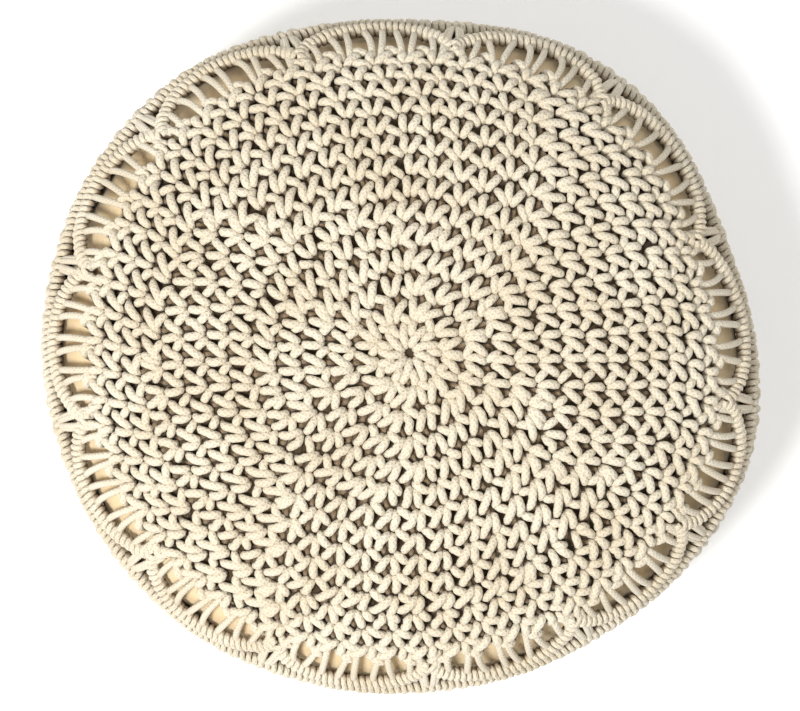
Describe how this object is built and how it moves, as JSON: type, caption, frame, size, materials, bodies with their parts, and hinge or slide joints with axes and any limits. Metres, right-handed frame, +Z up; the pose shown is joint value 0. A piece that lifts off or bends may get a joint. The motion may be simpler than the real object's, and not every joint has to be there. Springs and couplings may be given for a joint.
{
  "type": "floor cushion",
  "caption": "Round crocheted cotton-cord floor cushion with a scalloped lace rim, canvas liner, fibre filling and a zip across the base.",
  "frame": {"origin": "middle of the footprint, on the surface the cushion stands on", "axes": "+X the long way across the slightly oval cushion and along the zip, +Y the short way across, +Z up through the crown"},
  "size_m": [0.4998, 0.4677, 0.2],
  "materials": {
    "cotton_cord": "natural braided cotton cord, matt with light flecks",
    "canvas": "plain-woven cotton canvas, matt",
    "binding_tape": "cotton bias tape, matt",
    "inner_bag_cloth": "thin unbleached lining cloth, matt",
    "filling_fibre": "loose cotton and polyester fibre",
    "zip_tape": "woven zip tape, matt",
    "zip_metal": "satin brass"
  },
  "bodies": {
    "cushion": {"base_binding": "binding_tape", "base_panel_left": "canvas", "base_panel_right": "canvas", "base_round_01": "cotton_cord", "base_round_02": "cotton_cord", "base_round_03": "cotton_cord", "centre_ring": "cotton_cord", "cusp_ties": "cotton_cord", "edge_round": "cotton_cord", "filling": "filling_fibre", "girth_round": "cotton_cord", "inner_bag_base": "inner_bag_cloth", "inner_bag_top": "inner_bag_cloth", "liner_side": "canvas", "liner_top": "canvas", "outer_round": "cotton_cord", "scallop_01": "cotton_cord", "scallop_02": "cotton_cord", "scallop_03": "cotton_cord", "scallop_04": "cotton_cord", "scallop_05": "cotton_cord", "scallop_06": "cotton_cord", "scallop_07": "cotton_cord", "scallop_08": "cotton_cord", "scallop_09": "cotton_cord", "scallop_10": "cotton_cord", "scallop_11": "cotton_cord", "scallop_12": "cotton_cord", "scallop_13": "cotton_cord", "side_round_01": "cotton_cord", "side_round_02": "cotton_cord", "side_round_03": "cotton_cord", "side_round_04": "cotton_cord", "side_round_05": "cotton_cord", "side_round_06": "cotton_cord", "side_round_07": "cotton_cord", "side_round_08": "cotton_cord", "top_round_01": "cotton_cord", "top_round_02": "cotton_cord", "top_round_03": "cotton_cord", "top_round_04": "cotton_cord", "top_round_05": "cotton_cord", "top_round_06": "cotton_cord", "top_round_07": "cotton_cord", "top_round_08": "cotton_cord", "top_round_09": "cotton_cord", "top_round_10": "cotton_cord", "top_round_11": "cotton_cord", "top_round_12": "cotton_cord", "top_round_13": "cotton_cord", "zip_closed_end_stop": "zip_metal", "zip_open_end_stop": "zip_metal", "zip_tape_left": "zip_tape", "zip_tape_right": "zip_tape", "zip_teeth_left": "zip_metal", "zip_teeth_right": "zip_metal"},
    "slider": {"zip_slider": "zip_metal"},
    "pull": {"zip_pull": "zip_metal"}
  },
  "joints": [
    {"name": "zip_run", "type": "slide", "parent": "cushion", "child": "slider", "axis": [1, 0, 0], "range_m": [0, 0.21]},
    {"name": "pull_swing", "type": "hinge", "parent": "slider", "child": "pull", "pos_m": [-0.105, 0, 0.00635], "axis": [0, 1, 0], "range_deg": [0, 180]}
  ]
}
